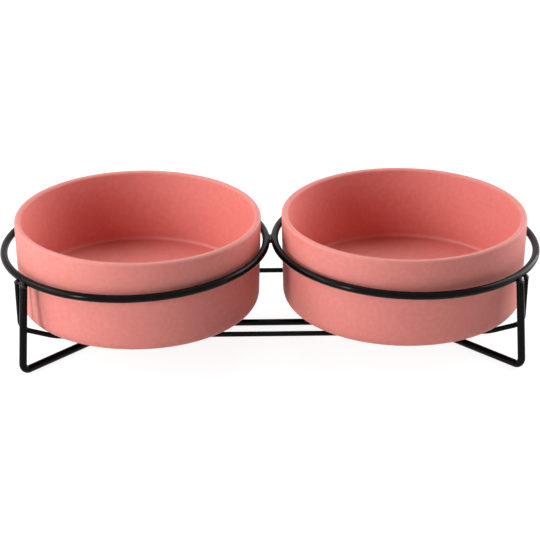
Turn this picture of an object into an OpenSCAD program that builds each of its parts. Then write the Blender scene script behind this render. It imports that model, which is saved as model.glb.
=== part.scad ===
// Double pet bowl: two loose ceramic bowls standing in a welded round-wire stand.
// The origin is on the floor, under the middle of the stand. +X runs along the pair, +Z is up.

/* [Bowls] */
// Outside diameter of a bowl at its rim
bowl_d = 155.5; // [130:0.5:180]
// Height of a bowl from its foot ring to its rim
bowl_h = 60.4; // [50:0.2:75]
// Thickness of the bowl wall, and of the fully rounded lip
wall_t = 4.2; // [3.4:0.1:5]
// Angle by which the wall leans outwards on its way up
wall_lean = 1.3; // [0.5:0.1:3]
// Radius of the outside edge between wall and foot
foot_round_r = 9; // [6:0.5:11]
// Thickness of the floor of a bowl
floor_t = 7; // [5:0.5:9]
// Depth of the recess under the floor, inside the foot ring
recess_h = 5.5; // [3:0.5:7]
// Width of the flat foot ring that the bowl stands on
foot_ring_w = 6; // [4:0.5:8]
// Angle by which the side of the recess leans inwards on its way up
recess_lean = 4.5; // [0:0.5:10]
// Radius of the inside corner between floor and wall
floor_fillet_r = 2.2; // [1:0.2:4]

/* [Rings] */
// Diameter of the wire of the two rings
ring_wire_d = 4.8; // [3.6:0.1:5.2]
// Free space between a centred bowl's rim and the inside of its ring
ring_play = 3.1; // [3:0.1:6]
// Height of a ring's centre above the foot of the bowls
ring_lift = 39.6; // [34:0.2:46]
// Angle by which each ring rises towards the middle of the stand
ring_slope = 1.5; // [0:0.1:2.4]
// Space between the two rings where they are welded together
ring_joint_gap = 0.5; // [0.5:0.1:1]

/* [Legs] */
// Diameter of the wire of the two leg frames
leg_wire_d = 4.8; // [3.6:0.1:5.2]
// Height of the foot of the bowls above the floor
bowl_foot_z = 19.5; // [16:0.1:26]
// Angle round the ring, from the stand's long axis, at which a leg is welded on
leg_angle = 39.3; // [37:0.1:44]
// Distance of a foot's corner outwards from under its ring's centre, along the stand
foot_out = 68.4; // [64:0.2:74]
// Distance of a foot's corner from the middle of the stand, across it
foot_across = 66; // [62:0.2:72]
// Angle of the floor wires to the stand's long axis
floor_wire_angle = 46; // [42:0.5:48]
// Distance of the leg and cradle wire ends outside the ring's own centre line
leg_outset = 2.6; // [1.8:0.1:3]
// Bend radius of the wire's centre line at a foot
foot_bend_r = 4.2; // [3.2:0.1:8]
// Bend radius of the wire's centre line where the two floor wires of a frame meet
apex_bend_r = 10; // [6:0.5:16]
// Diameter of the straight bar between the two leg frames
bar_d = 4.2; // [3:0.1:4.6]

/* [Cradle wires] */
// Diameter of the two thin wires that carry the bowls
cradle_d = 3.2; // [2.4:0.1:3.6]
// Distance across the stand from the top of a leg to the thin wire inside it
cradle_inset = 6.2; // [5:0.2:10]
// Height that each thin wire's corner lies above its straight middle
cradle_rise = 5.4; // [1:0.1:6]
// Distance by which each thin wire's corner lies inside its welded end
cradle_lean = 0.6; // [0:0.1:3]
// Bend radius at the corners of the thin wires
cradle_bend_r = 7.5; // [5:0.5:11]
// Bend radius where the thin wires start to rise
rise_bend_r = 30; // [20:1:40]

/* [Welds] */
// Height of a weld bead over the wire that it joins
bead_h = 0.4; // [0.2:0.1:0.6]
// Length of the weld between the two rings
ring_weld_l = 9.5; // [4:0.5:11]
// Diameter of the weld between the two rings
ring_weld_d = 3.6; // [3:0.1:4]

/* [Fits] */
// Clearance between a bowl's foot and the thin wires under it
rest_gap = 0.25; // [0.1:0.05:0.4]
// Clearance between welded wires, which the beads bridge
weld_gap = 0.05; // [0.02:0.01:0.1]

/* [Hidden] */
$fn = 64;

LEFT = -1;
RIGHT = 1;
FRONT = -1;
REAR = 1;
glaze = [0.88, 0.51, 0.49];
black_coat = [0.09, 0.09, 0.09];
bead_black = [0.14, 0.14, 0.14];
overrun = 1;
// Sides of a bent wire, and the most that it turns between two rows of its points
wire_sides = 24;
bend_step = 12;
// Sides of a ring in the preview
ring_sides = 240;

// A bowl stands loose in its ring, pushed along X and Y by these shares of the play
left_shift_shares = [0.7, -0.65];
right_shift_shares = [-0.37, -0.45];

// Rings
ring_wire_r = ring_wire_d / 2;
ring_r = bowl_d / 2 + ring_play + ring_wire_r;
ring_x = ring_r + ring_wire_r + ring_joint_gap / 2;
ring_z = bowl_foot_z + ring_lift;
// Height of a ring's centre line at a distance outwards from the ring's centre
function ring_line_z(out) = ring_z - out * tan(ring_slope);
// Height at which a wire of radius r, set outside the ring's centre line, meets it from below
function under_ring_z(out, r) =
  ring_line_z(out) - sqrt(ring_wire_r * ring_wire_r - pow(max(leg_outset - r, 0), 2)) - weld_gap;

// Legs
leg_wire_r = leg_wire_d / 2;
leg_out = (ring_r + leg_outset) * cos(leg_angle);
leg_y = (ring_r + leg_outset) * sin(leg_angle);
leg_top_z = under_ring_z(leg_out, leg_wire_r);
apex_turn = 2 * (90 - floor_wire_angle);
// The two floor wires of a frame meet this far out along the stand
apex_x = ring_x + foot_out - foot_across / tan(floor_wire_angle);
apex_bend_x = apex_x + apex_bend_r / cos(apex_turn / 2);
bar_end_x = apex_bend_x - apex_bend_r - leg_wire_r - weld_gap;

// Thin wires
cradle_r = cradle_d / 2;
cradle_y = leg_y - cradle_inset;
cradle_z = bowl_foot_z - rest_gap - cradle_r;
cradle_end_out = sqrt(pow(ring_r + leg_outset, 2) - cradle_y * cradle_y);
cradle_top_z = under_ring_z(cradle_end_out, cradle_r);
cradle_corner_out = cradle_end_out - cradle_lean;
// The thin wires start to rise past the foot of a centred bowl, by this share of its play
rise_past_share = 0.1;
foot_ring_r = bowl_d / 2 - foot_round_r;
rise_out = sqrt(foot_ring_r * foot_ring_r - cradle_y * cradle_y) + rise_past_share * ring_play;

// Bowl section: every round of it has its centre here, and wall_n points square out of the wall
lip_r = wall_t / 2;
wall_n = [cos(wall_lean), -sin(wall_lean)];
lip_c = [bowl_d / 2 - lip_r, bowl_h - lip_r];
outer_line = wall_n * lip_c + lip_r;
inner_line = wall_n * lip_c - lip_r;
floor_z = recess_h + floor_t;
// Centre of a round of radius r at height z whose side touches the wall line
function wall_touch(line, r, z) = [(line - r - wall_n[1] * z) / wall_n[0], z];
foot_c = wall_touch(outer_line, foot_round_r, foot_round_r);
fillet_c = wall_touch(inner_line, floor_fillet_r, floor_z + floor_fillet_r);
recess_r = foot_c[0] - foot_ring_w;
recess_draft = recess_h * tan(recess_lean);

function unit(v) = v / norm(v);
// Direction of the straight that starts at corner i of a path
function heading(path, i) = unit(path[i + 1] - path[i]);
// Axis about which the path turns at corner i
function turn_axis(path, i) = unit(cross(heading(path, i - 1), heading(path, i)));
// Angle by which the path turns at corner i
function turn_at(path, i) = acos(heading(path, i - 1) * heading(path, i));
// Vector v turned by an angle about a unit axis
function turned(v, axis, angle) =
  v * cos(angle) + cross(axis, v) * sin(angle) + axis * (axis * v) * (1 - cos(angle));
// Matrix that puts the origin at c, local y along ey and local z along ez
function axes_at(c, ey, ez) = let (ex = cross(ey, ez)) [
  [ex[0], ey[0], ez[0], c[0]], [ex[1], ey[1], ez[1], c[1]], [ex[2], ey[2], ez[2], c[2]], [0, 0, 0, 1]
];
// Frame at the start of a path, looking along it
function start_frame(path) = axes_at(path[0], turn_axis(path, 1), heading(path, 0));

// Each station of a wire is its centre, the direction along it and one direction square to that
function bend_stations(path, bends, i, side) = let (
    axis = turn_axis(path, i),
    turn = turn_at(path, i),
    back = -heading(path, i - 1),
    start = path[i] + back * bends[i] * tan(turn / 2),
    centre = start + cross(axis, -back) * bends[i],
    steps = ceil(turn / bend_step)
  )
  [for (k = [0 : steps]) let (angle = turn * k / steps)
    [centre + turned(start - centre, axis, angle), turned(-back, axis, angle), turned(side, axis, angle)]];
function stations_from(path, bends, i, side) =
  i == len(path) - 1 ? [[path[i], heading(path, i - 1), side]]
  : concat(
      bend_stations(path, bends, i, side),
      stations_from(path, bends, i + 1, turned(side, turn_axis(path, i), turn_at(path, i)))
    );
function stations(path, bends) = let (side = turn_axis(path, 1))
  concat([[path[0], heading(path, 0), side]], stations_from(path, bends, 1, side));

// Round wire of radius r along a path of corners, each bent to its radius in bends
module bent_wire(path, bends, r) {
  rows = stations(path, bends);
  last = len(rows) - 1;
  points = [for (s = rows) for (k = [0 : wire_sides - 1]) let (angle = 360 * k / wire_sides)
    s[0] + r * (s[2] * cos(angle) + cross(s[1], s[2]) * sin(angle))];
  skin = [for (j = [0 : last - 1]) for (k = [0 : wire_sides - 1]) let (
      next = (k + 1) % wire_sides, low = j * wire_sides, high = low + wire_sides
    ) [low + k, high + k, high + next, low + next]];
  ends = [[for (k = [0 : wire_sides - 1]) k], [for (k = [wire_sides - 1 : -1 : 0]) last * wire_sides + k]];
  polyhedron(points = points, faces = concat(skin, ends), convexity = 6);
}

function leg_path(side) = [
  [side * (ring_x + leg_out), FRONT * leg_y, leg_top_z],
  [side * (ring_x + foot_out), FRONT * foot_across, leg_wire_r],
  [side * apex_x, 0, leg_wire_r],
  [side * (ring_x + foot_out), REAR * foot_across, leg_wire_r],
  [side * (ring_x + leg_out), REAR * leg_y, leg_top_z]
];
leg_bends = [0, foot_bend_r, apex_bend_r, foot_bend_r, 0];

function cradle_half(side, row) = [
  [side * (ring_x + cradle_end_out), row * cradle_y, cradle_top_z],
  [side * (ring_x + cradle_corner_out), row * cradle_y, cradle_z + cradle_rise],
  [side * (ring_x + rise_out), row * cradle_y, cradle_z]
];
function cradle_path(row) = let (l = cradle_half(LEFT, row), r = cradle_half(RIGHT, row))
  [l[0], l[1], l[2], r[2], r[1], r[0]];
cradle_bends = [0, cradle_bend_r, rise_bend_r, rise_bend_r, cradle_bend_r, 0];

module bowl_section() {
  difference() {
    union() {
      polygon([
        [0, 0], [foot_c[0], 0], foot_c + wall_n * foot_round_r,
        lip_c + wall_n * lip_r, lip_c - wall_n * lip_r, [0, floor_z]
      ]);
      translate(foot_c) circle(r = foot_round_r);
    }
    polygon([
      [0, floor_z], [fillet_c[0], floor_z], fillet_c + wall_n * floor_fillet_r,
      lip_c - wall_n * lip_r, [lip_c[0] - lip_r, bowl_h + overrun], [0, bowl_h + overrun]
    ]);
    translate(fillet_c) circle(r = floor_fillet_r);
    polygon([
      [0, -overrun], [recess_r, -overrun], [recess_r, 0],
      [recess_r - recess_draft, recess_h], [0, recess_h]
    ]);
  }
  translate(lip_c) circle(r = lip_r);
}

module bowl(side, shift_shares) {
  color(glaze)
    translate([side * ring_x + shift_shares[0] * ring_play, shift_shares[1] * ring_play, bowl_foot_z])
      rotate_extrude() bowl_section();
}

// The ring's wire, grown by a clearance where a bead is cut to it
module ring_wire(side, grow) {
  translate([side * ring_x, 0, ring_z]) rotate([0, side * ring_slope, 0])
    rotate_extrude($fn = ring_sides) translate([ring_r, 0]) circle(r = ring_wire_r + grow);
}

module ring(side) {
  color(black_coat) ring_wire(side, 0);
}

module leg_frame(side) {
  color(black_coat) bent_wire(leg_path(side), leg_bends, leg_wire_r);
}

module bar(grow) {
  translate([-bar_end_x, 0, leg_wire_r]) rotate([0, 90, 0])
    cylinder(r = bar_d / 2 + grow, h = 2 * bar_end_x);
}

module centre_bar() {
  color(black_coat) bar(0);
}

module cradle_wire(row) {
  color(black_coat) bent_wire(cradle_path(row), cradle_bends, cradle_r);
}

// Bead on the end of a wire of radius r that is welded under its ring
module end_bead(side, path, r) {
  color(bead_black) difference() {
    multmatrix(start_frame(path)) mirror([0, 0, 1]) rotate_extrude() intersection() {
      circle(r = r + bead_h);
      square(r + bead_h);
    }
    ring_wire(side, weld_gap);
  }
}

module leg_welds(side) {
  path = leg_path(side);
  end_bead(side, path, leg_wire_r);
  end_bead(side, [path[4], path[3], path[2]], leg_wire_r);
}

module cradle_welds(side) {
  for (row = [FRONT, REAR]) end_bead(side, cradle_half(side, row), cradle_r);
}

// Bead over the end of the bar, cut to the bar and to the round bend that it meets
module bar_weld(side) {
  color(bead_black) mirror([side == LEFT ? 1 : 0, 0, 0]) difference() {
    translate([bar_end_x, 0, leg_wire_r + bead_h]) sphere(r = bar_d / 2 + bead_h);
    bar(weld_gap);
    translate([apex_bend_x, 0, leg_wire_r])
      rotate_extrude() translate([apex_bend_r, 0]) circle(r = leg_wire_r + weld_gap);
  }
}

// Bead between the two rings, which run side by side along Y where they meet
module ring_joint_weld() {
  curve_drop = ring_weld_l * ring_weld_l / (8 * ring_r);
  color(bead_black) translate([0, ring_weld_l / 2, ring_line_z(-ring_x)])
    rotate([90, 0, 0]) linear_extrude(ring_weld_l) difference() {
      circle(d = ring_weld_d);
      for (side = [LEFT, RIGHT]) translate([side * (ring_x - ring_r), 0])
        circle(r = ring_wire_r + weld_gap + curve_drop);
    }
}

bowl(LEFT, left_shift_shares);  // left_bowl
bowl(RIGHT, right_shift_shares);  // right_bowl
ring(LEFT);  // left_ring
ring(RIGHT);  // right_ring
ring_joint_weld();
leg_frame(LEFT);  // left_leg_frame
leg_frame(RIGHT);  // right_leg_frame
centre_bar();
cradle_wire(FRONT);  // front_cradle_wire
cradle_wire(REAR);  // rear_cradle_wire
leg_welds(LEFT);  // left_leg_welds
leg_welds(RIGHT);  // right_leg_welds
cradle_welds(LEFT);  // left_cradle_welds
cradle_welds(RIGHT);  // right_cradle_welds
bar_weld(LEFT);  // left_bar_weld
bar_weld(RIGHT);  // right_bar_weld
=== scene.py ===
"""Double pet bowl: the finish of two glazed bowls and of the powder-coated wire stand under them."""

import math

import bmesh
import bpy
from mathutils import Matrix, Vector, noise


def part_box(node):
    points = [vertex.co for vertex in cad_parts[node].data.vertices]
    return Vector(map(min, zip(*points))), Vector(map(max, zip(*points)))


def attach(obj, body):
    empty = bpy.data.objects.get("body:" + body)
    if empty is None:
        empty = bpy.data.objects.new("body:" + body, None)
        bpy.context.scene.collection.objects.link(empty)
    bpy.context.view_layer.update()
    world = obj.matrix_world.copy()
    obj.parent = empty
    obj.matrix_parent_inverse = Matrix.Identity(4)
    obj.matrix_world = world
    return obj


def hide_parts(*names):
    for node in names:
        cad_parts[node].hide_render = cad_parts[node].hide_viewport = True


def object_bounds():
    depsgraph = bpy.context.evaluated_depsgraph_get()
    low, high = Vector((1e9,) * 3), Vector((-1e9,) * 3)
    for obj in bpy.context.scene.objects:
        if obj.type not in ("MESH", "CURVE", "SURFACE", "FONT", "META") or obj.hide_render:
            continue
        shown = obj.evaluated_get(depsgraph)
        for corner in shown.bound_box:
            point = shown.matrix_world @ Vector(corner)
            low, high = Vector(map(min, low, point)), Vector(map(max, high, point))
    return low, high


bl_info = {
    "name": "Double Pet Bowl",
    "version": (1, 0, 0),
    "blender": (4, 5, 0),
    "location": "3D View > Sidebar > Pet Bowl",
    "description": "Glazed bowls and a welded wire stand, dressed over the packed model",
    "category": "Add Mesh",
}

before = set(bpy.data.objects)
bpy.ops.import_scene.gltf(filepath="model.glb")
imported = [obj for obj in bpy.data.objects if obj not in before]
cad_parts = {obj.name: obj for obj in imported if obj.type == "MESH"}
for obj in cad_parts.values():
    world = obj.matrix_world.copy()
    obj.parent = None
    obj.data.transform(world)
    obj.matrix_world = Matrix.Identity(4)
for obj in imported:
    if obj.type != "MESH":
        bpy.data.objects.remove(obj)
cad_low, cad_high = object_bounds()

SIDES = {"left": -1, "right": 1}
ROWS = {"front": -1, "rear": 1}
UP = Vector((0, 0, 1))
MM = 0.001

# Points closer than MERGE become one, a cut counts points within ON_PLANE as lying on it, points
# within NEAR of a plane count as part of it, and edges over SHARP stay crisp
MERGE = 0.002 * MM
ON_PLANE = 0.001 * MM
NEAR = 0.01 * MM
SHARP = math.radians(40)

# Steps of a full turn, sides of a round wire, and the most that a bend turns in one step
BOWL_STEPS = 192
RING_STEPS = 240
WIRE_SIDES = 24
BEND_STEP = math.radians(5)

# Share of the wall to which each edge of the lip is rounded, just under half so that they don't meet
LIP_ROUND = 0.49
# Share of a ring's radius past which its faces are cut for the ridge of its butt weld
RING_END = 0.99
# Bevel of the bar's cut ends
BAR_EDGE = 0.3 * MM

# Glaze: noises in repeats per metre, the bands of noise that show, and the most of the paler colour in
# each; on the lip that colour is thin glaze and partly a painted highlight
GLAZE_CLOUDS = 34
GLAZE_FLECKS = 380
CLOUD_BAND = (0.3, 0.7)
FLECK_BAND = (0.35, 0.7)
CLOUD_SHARE = 0.12
FLECK_SHARE = 0.28
LIP_SHARE = 0.4
GLAZE_ROUGHNESS = (0.56, 0.62)

# Where the painted highlight line round the inside floor fades in and out, in radii of that corner,
# outwards from the corner and upwards from the floor
HIGHLIGHT_ACROSS = ((-0.9, -0.5), (0, 0.5))
HIGHLIGHT_UP = ((-0.5, 0), (0.4, 0.8))

# Clay and powder coat: noises in repeats per metre, the bands of noise that show in the colour and
# in the gloss, roughness, and how dark or dusty the colour turns
CLAY_SAND = 900
SAND_BAND = (0.35, 0.65)
SAND_GLOSS_BAND = (0.2, 0.8)
CLAY_ROUGHNESS = (0.8, 0.92)
DARK_CLAY = 0.8
COAT_CLOUDS = 45
DUST_BAND = (0.35, 0.75)
COAT_ROUGHNESS = (0.12, 0.16)
DUSTY_COAT = 1.8

# Welds: swell and grain of a drop's uneven skin, how much the drops of a collar differ,
# the angle by which they go through that difference, and the grain at which drops are fused
DROP_SWELL = 0.12
DROP_GRAIN = 0.8 * MM
DROP_SPREAD = 0.15
DROP_PHASE = 2.4
FUSE_VOXEL = 0.3 * MM
# Shares of the way to the next wire, and shares of a drop's radius, of the drops of a weld smear
SMEAR = ((0.3, 1.2), (0.45, 1.1), (0.6, 1.0), (0.75, 0.9))
# Sizes, in drops, of those on the thin wires and of those between the two rings
THIN_DROP = 0.75
JOINT_DROP = 1.1
# Share of the bar's radius at which its drops sit, their number, and their least height in drops
BAR_SEAT = 0.75
BAR_DROPS = 9
BAR_LOWEST = 1.3
# Places along the bead between the two rings, and heights over the rings' centre line, of its drops
JOINT_SHARES = (-1, -0.6, -0.2, 0.2, 0.6, 1)
JOINT_LIFTS = (-0.3 * MM, 0.5 * MM)

# Bearing from +X and height in the sky in degrees, and width and height in metres, of each softbox
SOFTBOXES = {
    "key": (210, 12, (0.9, 0.9)),
    "strip": (221, 12, (0.18, 0.9)),
    "left": (180, 34, (0.9, 0.9)),
    "rear": (30, 26, (0.9, 1.5)),
    "right": (0, 12, (0.9, 0.9)),
    "top": (90, 65, (0.9, 0.9)),
}
# Distance of a softbox from the middle of the object
SOFTBOX_DISTANCE = 1.5

# Floor: half its width, the grey that throws light back at the object, the grey that shows its
# shadow, and its glow near the object and far from it, with the distances between which that changes
FLOOR_HALF = 12
FLOOR_PAPER = 0.8
FLOOR_SHOWN = 0.3
FLOOR_GLOW = (0.9, 1)
FLOOR_FADE = (0.4, 1.6)
# Width of the camera's sensor in millimetres
SENSOR = 36


class BowlSizes(bpy.types.PropertyGroup):
    """Sizes of a bowl that its box doesn't give."""

    wall: bpy.props.FloatProperty(
        name="Wall", description="Thickness of the wall and of its rounded lip",
        default=4.2 * MM, unit="LENGTH")
    wall_lean: bpy.props.FloatProperty(
        name="Wall Lean", description="Angle by which the wall leans outwards on its way up",
        default=math.radians(1.3), subtype="ANGLE")
    foot_round: bpy.props.FloatProperty(
        name="Foot Round", description="Radius of the outside edge between wall and foot",
        default=9 * MM, unit="LENGTH")
    floor_height: bpy.props.FloatProperty(
        name="Floor Height", description="Height of the inside floor above the foot ring",
        default=12.5 * MM, unit="LENGTH")
    floor_fillet: bpy.props.FloatProperty(
        name="Floor Fillet", description="Radius of the inside corner between floor and wall",
        default=2.2 * MM, unit="LENGTH")
    recess: bpy.props.FloatProperty(
        name="Recess", description="Depth of the recess under the floor",
        default=5.5 * MM, unit="LENGTH")
    recess_lean: bpy.props.FloatProperty(
        name="Recess Lean", description="Angle by which the side of the recess leans inwards",
        default=math.radians(4.5), subtype="ANGLE")
    foot_ring: bpy.props.FloatProperty(
        name="Foot Ring", description="Width of the bare flat ring that the bowl stands on",
        default=6 * MM, unit="LENGTH")
    edge_ease: bpy.props.FloatProperty(
        name="Edge Ease", description="Radius of the small edges under the bowl",
        default=0.9 * MM, unit="LENGTH")


class StandSizes(bpy.types.PropertyGroup):
    """Sizes of the wire stand that its boxes don't give."""

    ring_wire: bpy.props.FloatProperty(
        name="Ring Wire", description="Diameter of the wire of the two rings",
        default=4.8 * MM, unit="LENGTH")
    leg_wire: bpy.props.FloatProperty(
        name="Leg Wire", description="Diameter of the wire of the two leg frames",
        default=4.8 * MM, unit="LENGTH")
    cradle_wire: bpy.props.FloatProperty(
        name="Cradle Wire", description="Diameter of the two thin wires that carry the bowls",
        default=3.2 * MM, unit="LENGTH")
    bar: bpy.props.FloatProperty(
        name="Bar", description="Diameter of the straight bar between the leg frames",
        default=4.2 * MM, unit="LENGTH")
    leg_angle: bpy.props.FloatProperty(
        name="Leg Angle", description="Angle round a ring at which a leg is welded on",
        default=math.radians(39.3), subtype="ANGLE")
    foot_out: bpy.props.FloatProperty(
        name="Foot Out", description="Distance of a foot's corner outwards from under the ring's centre",
        default=68.4 * MM, unit="LENGTH")
    foot_across: bpy.props.FloatProperty(
        name="Foot Across", description="Distance of a foot's corner from the middle of the stand",
        default=66 * MM, unit="LENGTH")
    floor_wire_angle: bpy.props.FloatProperty(
        name="Floor Wire Angle", description="Angle of the floor wires to the long axis",
        default=math.radians(46), subtype="ANGLE")
    outset: bpy.props.FloatProperty(
        name="Outset", description="Distance of the welded ends outside the ring's centre line",
        default=2.6 * MM, unit="LENGTH")
    foot_bend: bpy.props.FloatProperty(
        name="Foot Bend", description="Bend radius of the wire at a foot",
        default=4.2 * MM, unit="LENGTH")
    apex_bend: bpy.props.FloatProperty(
        name="Apex Bend", description="Bend radius where the two floor wires of a frame meet",
        default=10 * MM, unit="LENGTH")
    cradle_inset: bpy.props.FloatProperty(
        name="Cradle Inset", description="Distance from the top of a leg to the thin wire inside it",
        default=6.2 * MM, unit="LENGTH")
    cradle_rise: bpy.props.FloatProperty(
        name="Cradle Rise", description="Height of a thin wire's corner above its straight middle",
        default=5.4 * MM, unit="LENGTH")
    cradle_lean: bpy.props.FloatProperty(
        name="Cradle Lean", description="Distance of a thin wire's corner inside its welded end",
        default=0.6 * MM, unit="LENGTH")
    cradle_bend: bpy.props.FloatProperty(
        name="Cradle Bend", description="Bend radius at the corners of the thin wires",
        default=7.5 * MM, unit="LENGTH")
    rise_bend: bpy.props.FloatProperty(
        name="Rise Bend", description="Bend radius where the thin wires start to rise",
        default=30 * MM, unit="LENGTH")
    rise_past: bpy.props.FloatProperty(
        name="Rise Past", description="Reach of the flat stretch past the foot of a centred bowl",
        default=0.31 * MM, unit="LENGTH")
    weld: bpy.props.FloatProperty(
        name="Weld", description="Radius of one drop of a weld bead",
        default=1 * MM, unit="LENGTH")
    bead: bpy.props.FloatProperty(
        name="Bead", description="Height of a weld bead over the wire that it joins",
        default=0.4 * MM, unit="LENGTH")
    seam: bpy.props.FloatProperty(
        name="Seam", description="Distance of a ring's butt weld behind the middle of the stand",
        default=3.6 * MM, unit="LENGTH")
    ridge: bpy.props.FloatProperty(
        name="Ridge", description="Half the width, and twice the height, of the ridge of a butt weld",
        default=0.3 * MM, unit="LENGTH")


class Finish(bpy.types.PropertyGroup):
    """Colours of the finishes."""

    glaze: bpy.props.FloatVectorProperty(
        name="Glaze", description="Colour of the satin glaze",
        default=(0.80, 0.24, 0.207), size=3, min=0, max=1, subtype="COLOR")
    # Paler colour of the mottle and of thin glaze over the lip; on the lip and in the inside floor
    # corner it also serves as painted highlight
    thin_glaze_and_highlight: bpy.props.FloatVectorProperty(
        name="Thin Glaze", description="Colour of the glaze where it runs thin over an edge",
        default=(0.83, 0.36, 0.32), size=3, min=0, max=1, subtype="COLOR")
    bare_clay: bpy.props.FloatVectorProperty(
        name="Bare Clay", description="Colour of the unglazed clay of the foot ring",
        default=(0.72, 0.60, 0.50), size=3, min=0, max=1, subtype="COLOR")
    powder_coat: bpy.props.FloatVectorProperty(
        name="Powder Coat", description="Colour of the wire's powder coat",
        default=(0.002, 0.002, 0.0022), size=3, min=0, max=1, subtype="COLOR")


class StageSettings(bpy.types.PropertyGroup):
    """Camera and lights."""

    camera_place: bpy.props.FloatVectorProperty(
        name="Camera Place", description="Where the camera stands",
        default=(-0.0291, -1.1553, 0.5612), size=3, subtype="TRANSLATION", unit="LENGTH")
    camera_pitch: bpy.props.FloatProperty(
        name="Camera Pitch", description="Angle by which the camera looks down",
        default=0.424, subtype="ANGLE")
    camera_yaw: bpy.props.FloatProperty(
        name="Camera Yaw", description="Angle by which the camera looks to the right",
        default=0.025, subtype="ANGLE")
    lens: bpy.props.FloatProperty(
        name="Lens", description="Focal length in millimetres for a 36 mm sensor",
        default=131.78)
    key_power: bpy.props.FloatProperty(
        name="Key Light", description="Power of the low softbox at the left front",
        default=6.2, unit="POWER")
    strip_power: bpy.props.FloatProperty(
        name="Strip Light", description="Power of the narrow softbox beside the key light",
        default=9.4, unit="POWER")
    left_power: bpy.props.FloatProperty(
        name="Left Light", description="Power of the softbox at the left",
        default=10.8, unit="POWER")
    rear_power: bpy.props.FloatProperty(
        name="Rear Light", description="Power of the tall softbox at the right rear",
        default=18.5, unit="POWER")
    right_power: bpy.props.FloatProperty(
        name="Right Light", description="Power of the low softbox at the right",
        default=3.5, unit="POWER")
    top_power: bpy.props.FloatProperty(
        name="Top Light", description="Power of the softbox above the rear",
        default=7.3, unit="POWER")
    room_level: bpy.props.FloatProperty(
        name="Room Level", description="Level of the even light from all round",
        default=0.02, min=0)


class PetBowl(bpy.types.PropertyGroup):
    """All that a user may change."""

    bowl: bpy.props.PointerProperty(type=BowlSizes)
    stand: bpy.props.PointerProperty(type=StandSizes)
    finish: bpy.props.PointerProperty(type=Finish)
    stage: bpy.props.PointerProperty(type=StageSettings)


def settings():
    """The scene's own property groups."""
    return bpy.context.scene.pet_bowl


def middle(low, high):
    """Centre of a box."""
    return (low + high) / 2


def bowl_foot(side):
    """Centre of the plane that a bowl's foot ring stands on."""
    low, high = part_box(side + "_bowl")
    centre = middle(low, high)
    return Vector((centre.x, centre.y, low.z))


def bowl_rim(side):
    """Radius of a bowl's rim, and its height above the foot."""
    low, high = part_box(side + "_bowl")
    return (high.x - low.x) / 2, high.z - low.z


def floor_radius(side):
    """Radius of the corner between a bowl's inside floor and its wall."""
    sizes = settings().bowl
    rim, height = bowl_rim(side)
    lean = math.tan(sizes.wall_lean) * (height - sizes.floor_height)
    return rim - lean - sizes.wall / math.cos(sizes.wall_lean)


def add_node(tree, kind, inputs=(), **attributes):
    """A shader node with its attributes and its inputs by name."""
    node = tree.nodes.new(kind)
    for name, value in attributes.items():
        setattr(node, name, value)
    for name, value in dict(inputs).items():
        node.inputs[name].default_value = value
    return node


def feed(tree, socket, value):
    """Links an output to a socket, or sets the socket to a value."""
    if isinstance(value, bpy.types.NodeSocket):
        tree.links.new(value, socket)
    else:
        socket.default_value = value


def new_material(name, specular):
    """Material with one Principled shader; returns the material, its node tree and the shader."""
    material = bpy.data.materials.new(name)
    material.use_nodes = True
    tree = material.node_tree
    shader = tree.nodes["Principled BSDF"]
    shader.inputs["Specular IOR Level"].default_value = specular
    return material, tree, shader


def grain(tree, place, scale, detail, roughness=0.5):
    """Noise with a scale in repeats per metre."""
    inputs = {"Scale": scale, "Detail": detail, "Roughness": roughness}
    node = add_node(tree, "ShaderNodeTexNoise", inputs)
    tree.links.new(place, node.inputs["Vector"])
    return node.outputs["Fac"]


def ramp(tree, value, start, end, first=0.0, last=1.0):
    """A value run smoothly from one range to another."""
    inputs = {"From Min": start, "From Max": end, "To Min": first, "To Max": last}
    node = add_node(tree, "ShaderNodeMapRange", inputs, interpolation_type="SMOOTHSTEP")
    tree.links.new(value, node.inputs["Value"])
    return node.outputs["Result"]


def maths(tree, operation, *values):
    """Sum, product or other operation on outputs or numbers."""
    node = add_node(tree, "ShaderNodeMath", operation=operation)
    for socket, value in zip(node.inputs, values):
        feed(tree, socket, value)
    return node.outputs["Value"]


def blend_colours(tree, share, first, second):
    """Mix of two colours, each a colour or an output."""
    node = add_node(tree, "ShaderNodeMix", data_type="RGBA")
    tree.links.new(share, node.inputs["Factor"])
    colours = [socket for socket in node.inputs if socket.type == "RGBA"]
    for socket, colour in zip(colours, (first, second)):
        feed(tree, socket, colour if isinstance(colour, bpy.types.NodeSocket) else (*colour, 1))
    return next(socket for socket in node.outputs if socket.type == "RGBA")


def add_bump(tree, shader, height, distance, strength):
    """Relief on the shader's normal."""
    node = add_node(tree, "ShaderNodeBump", {"Strength": strength, "Distance": distance})
    tree.links.new(height, node.inputs["Height"])
    tree.links.new(node.outputs["Normal"], shader.inputs["Normal"])


def place_from(tree, centre):
    """Object coordinates counted from a centre."""
    coordinates = tree.nodes.new("ShaderNodeTexCoord")
    mapping = add_node(tree, "ShaderNodeMapping", {"Location": -centre})
    tree.links.new(coordinates.outputs["Object"], mapping.inputs["Vector"])
    return mapping.outputs["Vector"]


def split_axes(tree, place):
    """X, Y and Z of a place, by name."""
    node = tree.nodes.new("ShaderNodeSeparateXYZ")
    tree.links.new(place, node.inputs["Vector"])
    return node.outputs


def distance_out(tree, axes):
    """Distance from the upright axis."""
    squares = [maths(tree, "MULTIPLY", axes[name], axes[name]) for name in "XY"]
    return maths(tree, "SQRT", maths(tree, "ADD", *squares))


def band(tree, value, edge, unit, fades):
    """One between two fades and zero outside them, each fade in shares of a unit from an edge."""
    (rise_start, rise_end), (fall_start, fall_end) = fades
    rise = ramp(tree, value, edge + rise_start * unit, edge + rise_end * unit)
    fall = ramp(tree, value, edge + fall_start * unit, edge + fall_end * unit, 1, 0)
    return maths(tree, "MULTIPLY", rise, fall)


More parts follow.
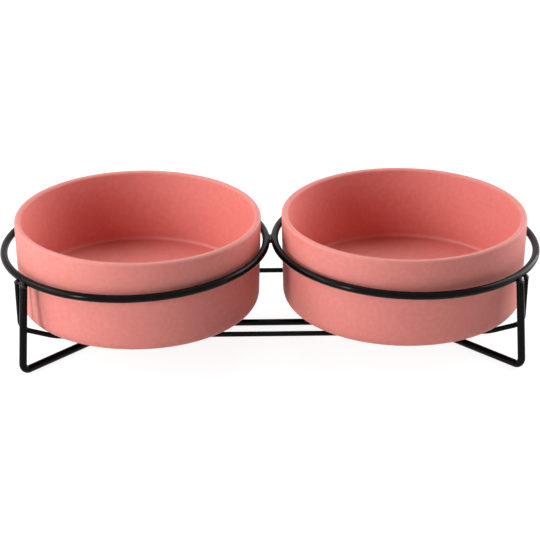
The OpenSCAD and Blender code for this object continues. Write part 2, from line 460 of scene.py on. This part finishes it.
def painted_corner_highlight(tree, axes, side):
    """Share of the painted highlight line, in the paler glaze colour, in the round between floor and
    wall.
    """
    sizes = settings().bowl
    out = distance_out(tree, axes)
    across = band(tree, out, floor_radius(side), sizes.floor_fillet, HIGHLIGHT_ACROSS)
    up = band(tree, axes["Z"], sizes.floor_height, sizes.floor_fillet, HIGHLIGHT_UP)
    return maths(tree, "MULTIPLY", across, up)


def glaze_material(side):
    """Satin glaze: slightly mottled, pale over the lip where it runs thin and partly as a painted
    highlight, with a painted highlight line in the inside floor corner and an orange-peel relief.
    """
    finish = settings().finish
    wall = settings().bowl.wall
    height = bowl_rim(side)[1]
    material, tree, shader = new_material(side + "_glaze", specular=0.3)
    place = place_from(tree, bowl_foot(side))
    axes = split_axes(tree, place)
    cloud = grain(tree, place, GLAZE_CLOUDS, detail=4)
    fleck = grain(tree, place, GLAZE_FLECKS, detail=3)
    clouds = ramp(tree, cloud, *CLOUD_BAND, last=CLOUD_SHARE)
    clouded = blend_colours(tree, clouds, finish.glaze, finish.thin_glaze_and_highlight)
    flecks = ramp(tree, fleck, *FLECK_BAND, last=FLECK_SHARE)
    mottled = blend_colours(tree, flecks, clouded, finish.thin_glaze_and_highlight)
    # Paler lip: thin glaze breaking over the edge, and partly a painted highlight along the rim
    lip = ramp(tree, axes["Z"], height - wall / 2, height - wall / 8, last=LIP_SHARE)
    # Adds the painted highlight line round the inside floor corner to the paler lip
    thin = maths(tree, "MAXIMUM", lip, painted_corner_highlight(tree, axes, side))
    colour = blend_colours(tree, thin, mottled, finish.thin_glaze_and_highlight)
    tree.links.new(colour, shader.inputs["Base Color"])
    roughness = ramp(tree, cloud, *CLOUD_BAND, *GLAZE_ROUGHNESS)
    tree.links.new(roughness, shader.inputs["Roughness"])
    peel = maths(tree, "MULTIPLY_ADD", cloud, 2, fleck)
    add_bump(tree, shader, peel, distance=0.06 * MM, strength=0.4)
    return material


def bare_clay_material():
    """Unglazed foot ring: matt, with a sandy grain."""
    material, tree, shader = new_material("bare_clay", specular=0.3)
    place = place_from(tree, Vector())
    sand = grain(tree, place, CLAY_SAND, detail=5, roughness=0.7)
    clay = settings().finish.bare_clay
    dark = [channel * DARK_CLAY for channel in clay]
    colour = blend_colours(tree, ramp(tree, sand, *SAND_BAND), dark, clay)
    tree.links.new(colour, shader.inputs["Base Color"])
    roughness = ramp(tree, sand, *SAND_GLOSS_BAND, *CLAY_ROUGHNESS)
    tree.links.new(roughness, shader.inputs["Roughness"])
    add_bump(tree, shader, sand, distance=0.12 * MM, strength=0.6)
    return material


def powder_coat_material(name, specular, scale, relief):
    """Satin black powder coat with its fine orange-peel relief."""
    material, tree, shader = new_material(name, specular)
    place = place_from(tree, Vector())
    peel = grain(tree, place, scale, detail=3)
    cloud = grain(tree, place, COAT_CLOUDS, detail=2)
    plain = settings().finish.powder_coat
    dusty = [channel * DUSTY_COAT for channel in plain]
    colour = blend_colours(tree, ramp(tree, cloud, *DUST_BAND), plain, dusty)
    tree.links.new(colour, shader.inputs["Base Color"])
    roughness = ramp(tree, cloud, *CLOUD_BAND, *COAT_ROUGHNESS)
    tree.links.new(roughness, shader.inputs["Roughness"])
    add_bump(tree, shader, peel, relief, strength=0.5)
    return material


def coat():
    """The wires' powder coat, made once."""
    made = bpy.data.materials.get("powder_coat")
    return made or powder_coat_material("powder_coat", specular=0.08, scale=1500, relief=0.015 * MM)


def bead_coat():
    """The powder coat over a weld bead, made once."""
    made = bpy.data.materials.get("bead_coat")
    return made or powder_coat_material("bead_coat", specular=0.25, scale=1100, relief=0.06 * MM)


def finish_piece(bm, name, body, materials, replaced):
    """Makes an object of a bmesh, smooth but for its sharp edges, and hangs it on its body."""
    bmesh.ops.remove_doubles(bm, verts=bm.verts, dist=MERGE)
    bmesh.ops.recalc_face_normals(bm, faces=bm.faces)
    for face in bm.faces:
        face.smooth = True
    for edge in bm.edges:
        edge.smooth = edge.calc_face_angle(0) < SHARP
    mesh = bpy.data.meshes.new(name)
    bm.to_mesh(mesh)
    bm.free()
    for material in materials:
        mesh.materials.append(material)
    piece = bpy.data.objects.new(name, mesh)
    bpy.context.scene.collection.objects.link(piece)
    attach(piece, body)
    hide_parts(*replaced)
    return piece


def finish_wire(bm, name, node):
    """Makes a coated wire of the stand of a bmesh, in place of its node."""
    finish_piece(bm, name, "stand", [coat()], [node])


def full_turn(bm, steps):
    """Turns all that a bmesh holds once round the upright axis."""
    bmesh.ops.spin(
        bm, geom=bm.verts[:] + bm.edges[:], cent=(0, 0, 0), axis=UP, dvec=(0, 0, 0),
        angle=2 * math.pi, steps=steps, use_merge=True, use_normal_flip=False, use_duplicate=False)


def round_corner(bm, corner, radius, segments):
    """Rounds one corner of an outline to a radius."""
    first, second = (edge.other_vert(corner).co - corner.co for edge in corner.link_edges)
    offset = radius / math.tan(first.angle(second) / 2)
    bmesh.ops.bevel(
        bm, geom=[corner], offset=offset, offset_type="OFFSET", segments=segments,
        profile=0.5, affect="VERTICES", material=-1)


def bowl_bmesh(side):
    """Bowl turned from its section, which is drawn at the right of its axis."""
    sizes = settings().bowl
    rim, height = bowl_rim(side)
    lean = math.tan(sizes.wall_lean)
    foot = rim - height * lean
    ring = foot - sizes.foot_round - sizes.foot_ring
    corner = floor_radius(side)
    outline = {
        "recess_middle": (0, sizes.recess),
        "recess_corner": (ring - sizes.recess * math.tan(sizes.recess_lean), sizes.recess),
        "foot_inside": (ring, 0),
        "foot_outside": (foot, 0),
        "rim_outside": (rim, height),
        "rim_inside": (corner + (height - sizes.floor_height) * lean, height),
        "floor_corner": (corner, sizes.floor_height),
        "floor_middle": (0, sizes.floor_height),
    }
    # Radius and segments of each round
    rounds = {
        "recess_corner": (2 * sizes.edge_ease, 4),
        "foot_inside": (sizes.edge_ease, 4),
        "foot_outside": (sizes.foot_round, 12),
        "rim_outside": (LIP_ROUND * sizes.wall, 8),
        "rim_inside": (LIP_ROUND * sizes.wall, 8),
        "floor_corner": (sizes.floor_fillet, 8),
    }
    bm = bmesh.new()
    corners = {name: bm.verts.new((out, 0, up)) for name, (out, up) in outline.items()}
    order = list(corners.values())
    for first, second in zip(order, order[1:]):
        bm.edges.new((first, second))
    for name, (radius, segments) in rounds.items():
        round_corner(bm, corners[name], radius, segments)
    full_turn(bm, BOWL_STEPS)
    for face in bm.faces:
        face.material_index = int(all(vert.co.z < NEAR for vert in face.verts))
    bmesh.ops.translate(bm, verts=bm.verts, vec=bowl_foot(side))
    return bm


class PETBOWL_OT_bowls(bpy.types.Operator):
    """Turn the two bowls and give them their glaze"""

    bl_idname = "petbowl.bowls"
    bl_label = "Bowls"

    def execute(self, context):
        clay = bare_clay_material()
        for side in SIDES:
            node = side + "_bowl"
            materials = [glaze_material(side), clay]
            finish_piece(bowl_bmesh(side), node + "_glazed", node, materials, [node])
        return {"FINISHED"}


def ring_place(side):
    """Centre, radius and slope of a ring's centre line, read from its box."""
    low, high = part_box(side + "_ring")
    half = (high - low) / 2
    wire = settings().stand.ring_wire / 2
    radius = half.y - wire
    return middle(low, high), radius, math.asin((half.z - wire) / radius)


def butt_seam(bm, end, radius):
    """Raises the ridge of a butt weld round the wire of a ring, near its end towards -X or +X."""
    stand = settings().stand
    for across in (stand.seam - stand.ridge, stand.seam, stand.seam + stand.ridge):
        near = [face for face in bm.faces if face.calc_center_median().x * end > RING_END * radius]
        edges = {edge for face in near for edge in face.edges}
        verts = {vert for face in near for vert in face.verts}
        bmesh.ops.bisect_plane(
            bm, geom=[*verts, *edges, *near], dist=ON_PLANE,
            plane_co=(0, across, 0), plane_no=(0, 1, 0))
    for vert in bm.verts:
        if abs(vert.co.y - stand.seam) < NEAR and vert.co.x * end > 0:
            core = Vector((vert.co.x, vert.co.y, 0)).normalized() * radius
            vert.co += (vert.co - core).normalized() * stand.ridge / 2


def ring_bmesh(side):
    """Closed hoop, sloped as its box says, with the ridge of its butt weld at the inner end."""
    centre, radius, slope = ring_place(side)
    wire = settings().stand.ring_wire / 2
    bm = bmesh.new()
    stood = Matrix.Translation((radius, 0, 0)) @ Matrix.Rotation(math.radians(90), 4, "X")
    bmesh.ops.create_circle(bm, cap_ends=False, segments=WIRE_SIDES, radius=wire, matrix=stood)
    full_turn(bm, RING_STEPS)
    butt_seam(bm, -SIDES[side], radius)
    tilt = Matrix.Rotation(SIDES[side] * slope, 4, "Y")
    bmesh.ops.transform(bm, matrix=Matrix.Translation(centre) @ tilt, verts=bm.verts)
    return bm


class PETBOWL_OT_rings(bpy.types.Operator):
    """Turn the two rings and coat them"""

    bl_idname = "petbowl.rings"
    bl_label = "Rings"

    def execute(self, context):
        for side in SIDES:
            node = side + "_ring"
            finish_wire(ring_bmesh(side), node + "_wire", node)
        return {"FINISHED"}


def draw(bm, front, way):
    """Draws the open end of a wire along a straight."""
    drawn = bmesh.ops.extrude_edge_only(bm, edges=front)["geom"]
    verts = [part for part in drawn if isinstance(part, bmesh.types.BMVert)]
    bmesh.ops.translate(bm, verts=verts, vec=way)
    ends = set(verts)
    return [part for part in drawn if isinstance(part, bmesh.types.BMEdge) and set(part.verts) <= ends]


def bent_wire(corners, bends, wire):
    """Round wire drawn along its straights and bent about each corner, as on a bending jig."""
    bm = bmesh.new()
    headings = [(end - start).normalized() for start, end in zip(corners, corners[1:])]
    turn = headings[0].to_track_quat("Z", "Y").to_matrix().to_4x4()
    bmesh.ops.create_circle(
        bm, cap_ends=True, segments=WIRE_SIDES, radius=wire / 2,
        matrix=Matrix.Translation(corners[0]) @ turn)
    front = bm.edges[:]
    reached = corners[0]
    for corner, bend, before, after in zip(corners[1:], bends, headings, headings[1:]):
        angle = before.angle(after)
        start = corner - before * bend * math.tan(angle / 2)
        front = draw(bm, front, start - reached)
        axis = before.cross(after).normalized()
        bent = bmesh.ops.spin(
            bm, geom=front, cent=start + axis.cross(before) * bend, axis=axis, dvec=(0, 0, 0),
            angle=angle, steps=math.ceil(angle / BEND_STEP), use_merge=False,
            use_normal_flip=False, use_duplicate=False)
        front = [part for part in bent["geom_last"] if isinstance(part, bmesh.types.BMEdge)]
        reached = corner + after * bend * math.tan(angle / 2)
    front = draw(bm, front, corners[-1] - reached)
    bmesh.ops.holes_fill(bm, edges=front, sides=0)
    return bm


def under_ring(side, out, wire):
    """Height at which a wire, set outside the ring's centre line, meets the ring from below."""
    centre, _, slope = ring_place(side)
    stand = settings().stand
    aside = max(stand.outset - wire, 0)
    return centre.z - out * math.tan(slope) - math.sqrt((stand.ring_wire / 2) ** 2 - aside ** 2)


def leg_top(side):
    """Distances of a leg's top from the ring's centre, outwards and across."""
    stand = settings().stand
    reach = ring_place(side)[1] + stand.outset
    return reach * math.cos(stand.leg_angle), reach * math.sin(stand.leg_angle)


def leg_corners(side):
    """Corners of a leg frame, from the front leg's top to the rear leg's top."""
    stand = settings().stand
    centre = ring_place(side)[0]
    wire = stand.leg_wire / 2
    top_out, top_y = leg_top(side)
    apex_out = stand.foot_out - stand.foot_across / math.tan(stand.floor_wire_angle)
    half = [
        (top_out, -top_y, under_ring(side, top_out, wire)),
        (stand.foot_out, -stand.foot_across, wire),
        (apex_out, 0, wire),
    ]
    whole = half + [(out, -y, z) for out, y, z in reversed(half[:2])]
    return [Vector((centre.x + SIDES[side] * out, y, z)) for out, y, z in whole]


class PETBOWL_OT_leg_frames(bpy.types.Operator):
    """Bend the two leg frames"""

    bl_idname = "petbowl.leg_frames"
    bl_label = "Leg Frames"

    def execute(self, context):
        stand = settings().stand
        bends = [stand.foot_bend, stand.apex_bend, stand.foot_bend]
        for side in SIDES:
            node = side + "_leg_frame"
            finish_wire(bent_wire(leg_corners(side), bends, stand.leg_wire), node + "_wire", node)
        return {"FINISHED"}


def cradle_half(side, row):
    """Corners of one half of a thin wire, from its welded end to where it starts to rise."""
    stand = settings().stand
    bowl = settings().bowl
    centre, radius, _ = ring_place(side)
    wire = stand.cradle_wire / 2
    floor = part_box(row + "_cradle_wire")[0].z + wire
    across = leg_top(side)[1] - stand.cradle_inset
    end = math.sqrt((radius + stand.outset) ** 2 - across ** 2)
    foot = bowl_rim(side)[0] - bowl.foot_round
    rise = math.sqrt(foot ** 2 - across ** 2) + stand.rise_past
    places = [
        (end, under_ring(side, end, wire)),
        (end - stand.cradle_lean, floor + stand.cradle_rise),
        (rise, floor),
    ]
    return [Vector((centre.x + SIDES[side] * out, ROWS[row] * across, z)) for out, z in places]


class PETBOWL_OT_cradle_wires(bpy.types.Operator):
    """Bend the two thin wires that carry the bowls"""

    bl_idname = "petbowl.cradle_wires"
    bl_label = "Cradle Wires"

    def execute(self, context):
        stand = settings().stand
        bends = [stand.cradle_bend, stand.rise_bend, stand.rise_bend, stand.cradle_bend]
        for row in ROWS:
            node = row + "_cradle_wire"
            corners = cradle_half("left", row) + cradle_half("right", row)[::-1]
            finish_wire(bent_wire(corners, bends, stand.cradle_wire), node + "_bent", node)
        return {"FINISHED"}


class PETBOWL_OT_centre_bar(bpy.types.Operator):
    """Cut the straight bar between the leg frames"""

    bl_idname = "petbowl.centre_bar"
    bl_label = "Centre Bar"

    def execute(self, context):
        low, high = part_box("centre_bar")
        bm = bmesh.new()
        laid = Matrix.Translation(middle(low, high)) @ Matrix.Rotation(math.radians(90), 4, "Y")
        radius = settings().stand.bar / 2
        bmesh.ops.create_cone(
            bm, cap_ends=True, cap_tris=False, segments=WIRE_SIDES, radius1=radius, radius2=radius,
            depth=high.x - low.x, matrix=laid)
        rims = [edge for edge in bm.edges if abs(edge.verts[0].co.x - edge.verts[1].co.x) < NEAR]
        bmesh.ops.bevel(
            bm, geom=rims, offset=BAR_EDGE, offset_type="OFFSET", segments=2,
            profile=0.5, affect="EDGES", material=-1)
        finish_wire(bm, "centre_bar_rod", "centre_bar")
        return {"FINISHED"}


def collar(centre, axis, radius, drop, count):
    """Weld drops in a ring about an axis, each a centre and a radius."""
    side = axis.orthogonal().normalized()
    turns = [Matrix.Rotation(2 * math.pi * k / count, 3, axis) for k in range(count)]
    sizes = [drop * (1 + DROP_SPREAD * math.sin(DROP_PHASE * k)) for k in range(count)]
    return [(centre + turn @ side * radius, size) for turn, size in zip(turns, sizes)]


def end_drops(corners, wire, drop):
    """Weld drops round and over the end of a wire, up to the ring that it meets."""
    end = corners[0]
    axis = (end - corners[1]).normalized()
    reach = wire / 2 + settings().stand.bead - 1.2 * drop
    # Drops along the wire, distance out, size and number of the drops in each row
    rows = [(-1, reach, 0.9 * drop, 8), (0, reach, drop, 9), (1, reach / 2, drop, 6)]
    drops = []
    for along, out, size, count in rows:
        drops += collar(end + axis * along * drop, axis, out, size, count)
    return drops


def smear(start, end, drop):
    """Weld drops run on from one wire's end towards the next, where the torch slipped across."""
    return [(start.lerp(end, share), size * drop) for share, size in SMEAR]


def drop_bmesh(drops):
    """A bead of weld drops, with the slight unevenness of welding."""
    bm = bmesh.new()
    for centre, radius in drops:
        made = bmesh.ops.create_icosphere(
            bm, subdivisions=3, radius=radius, matrix=Matrix.Translation(centre))
        for vert in made["verts"]:
            swell = 1 + DROP_SWELL * noise.noise(vert.co / DROP_GRAIN)
            vert.co = centre + (vert.co - centre) * swell
    return bm


def fuse(piece):
    """Fuses the drops of a bead into one skin."""
    remesh = piece.modifiers.new("fuse", "REMESH")
    remesh.mode = "VOXEL"
    remesh.voxel_size = FUSE_VOXEL
    remesh.use_smooth_shade = True
    smooth = piece.modifiers.new("flow", "SMOOTH")
    smooth.factor = 0.5
    smooth.iterations = 4


def bead(node, drops):
    """One bead of drops in place of a weld node."""
    piece = finish_piece(
        drop_bmesh(drops), node + "_bead", "stand", [bead_coat()], [node])
    fuse(piece)


class PETBOWL_OT_welds(bpy.types.Operator):
    """Run the weld beads"""

    bl_idname = "petbowl.welds"
    bl_label = "Welds"

    def execute(self, context):
        stand = settings().stand
        for side in SIDES:
            self.legs(side, stand)
            self.cradle(side, stand)
            self.bar(side, stand)
        self.joint(stand)
        return {"FINISHED"}

    def legs(self, side, stand):
        """The tops of a frame's two legs, and the smear at the left front one."""
        corners = leg_corners(side)
        drops = end_drops(corners[:2], stand.leg_wire, stand.weld)
        drops += end_drops(corners[:-3:-1], stand.leg_wire, stand.weld)
        if side == "left":
            drops += smear(corners[0], cradle_half(side, "front")[0], stand.weld)
        bead(side + "_leg_welds", drops)

    def cradle(self, side, stand):
        """The ends of the two thin wires at one ring."""
        drops = []
        for row in ROWS:
            drops += end_drops(cradle_half(side, row), stand.cradle_wire, THIN_DROP * stand.weld)
        bead(side + "_cradle_welds", drops)

    def bar(self, side, stand):
        """One end of the bar, with no drop below the floor."""
        low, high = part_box(side + "_bar_weld")
        centre = Vector((middle(low, high).x, 0, stand.leg_wire / 2))
        seat = BAR_SEAT * stand.bar / 2
        drops = collar(centre, Vector((1, 0, 0)), seat, stand.weld, BAR_DROPS)
        lowest = BAR_LOWEST * stand.weld
        bead(side + "_bar_weld", [
            (Vector((place.x, place.y, max(place.z, lowest))), size) for place, size in drops])

    def joint(self, stand):
        """The bridge between the two rings."""
        low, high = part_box("ring_joint_weld")
        centre = middle(low, high)
        reach = (high.y - low.y) / 2 - stand.weld
        bead("ring_joint_weld", [
            (centre + Vector((0, reach * share, lift)), JOINT_DROP * stand.weld)
            for share in JOINT_SHARES for lift in JOINT_LIFTS])


def softbox(name, azimuth, elevation, size, power):
    """Softbox that looks at the bowls from a bearing round them and a height in the sky."""
    light = bpy.data.lights.new(name, "AREA")
    light.shape = "RECTANGLE"
    light.size, light.size_y = size
    light.energy = power
    lamp = bpy.data.objects.new(name, light)
    bpy.context.scene.collection.objects.link(lamp)
    bearing, rise = math.radians(azimuth), math.radians(elevation)
    level = math.cos(rise)
    way = Vector((math.cos(bearing) * level, math.sin(bearing) * level, math.sin(rise)))
    aimed = way.to_track_quat("Z", "Y").to_matrix().to_4x4()
    aim = middle(cad_low, cad_high)
    lamp.matrix_world = Matrix.Translation(aim + way * SOFTBOX_DISTANCE) @ aimed


def seen_directly(tree):
    """One for what the camera sees, directly or in gloss or through glass, and zero for other light."""
    path = tree.nodes.new("ShaderNodeLightPath")
    glossy = maths(tree, "MAXIMUM", path.outputs["Is Camera Ray"], path.outputs["Is Glossy Ray"])
    return maths(tree, "MAXIMUM", glossy, path.outputs["Is Transmission Ray"])


def floor_material():
    """Plain white floor that keeps a soft shadow and runs into the backdrop."""
    material = bpy.data.materials.new("studio_floor")
    material.use_nodes = True
    tree = material.node_tree
    tree.nodes.clear()
    output = tree.nodes.new("ShaderNodeOutputMaterial")
    paper, shown = (
        add_node(tree, "ShaderNodeBsdfDiffuse", {"Color": (grey, grey, grey, 1)})
        for grey in (FLOOR_PAPER, FLOOR_SHOWN))
    glow = add_node(tree, "ShaderNodeEmission", {"Color": (1, 1, 1, 1)})
    out = distance_out(tree, split_axes(tree, place_from(tree, Vector())))
    tree.links.new(ramp(tree, out, *FLOOR_FADE, *FLOOR_GLOW), glow.inputs["Strength"])
    both = tree.nodes.new("ShaderNodeAddShader")
    tree.links.new(shown.outputs[0], both.inputs[0])
    tree.links.new(glow.outputs[0], both.inputs[1])
    mix = tree.nodes.new("ShaderNodeMixShader")
    tree.links.new(seen_directly(tree), mix.inputs[0])
    tree.links.new(paper.outputs[0], mix.inputs[1])
    tree.links.new(both.outputs[0], mix.inputs[2])
    tree.links.new(mix.outputs[0], output.inputs["Surface"])
    return material


class PETBOWL_OT_stage(bpy.types.Operator):
    """Set up the floor, the softboxes and the camera"""

    bl_idname = "petbowl.stage"
    bl_label = "Stage"

    def execute(self, context):
        stage = settings().stage
        scene = context.scene
        self.floor(scene)
        for name, (azimuth, elevation, size) in SOFTBOXES.items():
            softbox(name + "_light", azimuth, elevation, size, getattr(stage, name + "_power"))
        self.world(scene, stage)
        self.camera(scene, stage)
        scene.view_settings.view_transform = "Standard"
        return {"FINISHED"}

    def floor(self, scene):
        """The plain floor that the stand is on."""
        bm = bmesh.new()
        bmesh.ops.create_grid(bm, x_segments=1, y_segments=1, size=FLOOR_HALF)
        mesh = bpy.data.meshes.new("studio_floor")
        bm.to_mesh(mesh)
        bm.free()
        mesh.materials.append(floor_material())
        floor = bpy.data.objects.new("studio_floor", mesh)
        scene.collection.objects.link(floor)

    def world(self, scene, stage):
        """White where the camera sees it, and an even level of light from all round."""
        world = bpy.data.worlds.new("studio")
        scene.world = world
        world.use_nodes = True
        tree = world.node_tree
        background = tree.nodes["Background"]
        background.inputs["Color"].default_value = (1, 1, 1, 1)
        level = ramp(tree, seen_directly(tree), 0, 1, first=stage.room_level)
        tree.links.new(level, background.inputs["Strength"])

    def camera(self, scene, stage):
        """The photograph's point of view."""
        lens = bpy.data.cameras.new("photo_camera")
        lens.lens = stage.lens
        lens.sensor_width = SENSOR
        camera = bpy.data.objects.new("photo_camera", lens)
        scene.collection.objects.link(camera)
        camera.location = stage.camera_place
        camera.rotation_euler = (math.radians(90) - stage.camera_pitch, 0, -stage.camera_yaw)
        scene.camera = camera


class PETBOWL_PT_panel(bpy.types.Panel):
    """Lists the steps that make the pet bowl"""

    bl_idname = "PETBOWL_PT_panel"
    bl_label = "Pet Bowl"
    bl_space_type = "VIEW_3D"
    bl_region_type = "UI"
    bl_category = "Pet Bowl"

    def draw(self, context):
        for operator in OPERATORS:
            self.layout.operator(operator.bl_idname)


OPERATORS = [
    PETBOWL_OT_stage,
    PETBOWL_OT_bowls,
    PETBOWL_OT_rings,
    PETBOWL_OT_leg_frames,
    PETBOWL_OT_cradle_wires,
    PETBOWL_OT_centre_bar,
    PETBOWL_OT_welds,
]
CLASSES = [BowlSizes, StandSizes, Finish, StageSettings, PetBowl, *OPERATORS, PETBOWL_PT_panel]


def register():
    """Makes the classes and the scene's property group known to Blender."""
    for item in CLASSES:
        bpy.utils.register_class(item)
    bpy.types.Scene.pet_bowl = bpy.props.PointerProperty(type=PetBowl)


def unregister():
    """Takes the property group and the classes out again."""
    del bpy.types.Scene.pet_bowl
    for item in reversed(CLASSES):
        bpy.utils.unregister_class(item)


def main():
    """Dresses the frame."""
    register()
    bpy.ops.petbowl.stage()
    bpy.ops.petbowl.bowls()
    bpy.ops.petbowl.rings()
    bpy.ops.petbowl.leg_frames()
    bpy.ops.petbowl.cradle_wires()
    bpy.ops.petbowl.centre_bar()
    bpy.ops.petbowl.welds()


if __name__ == "__main__":
    main()
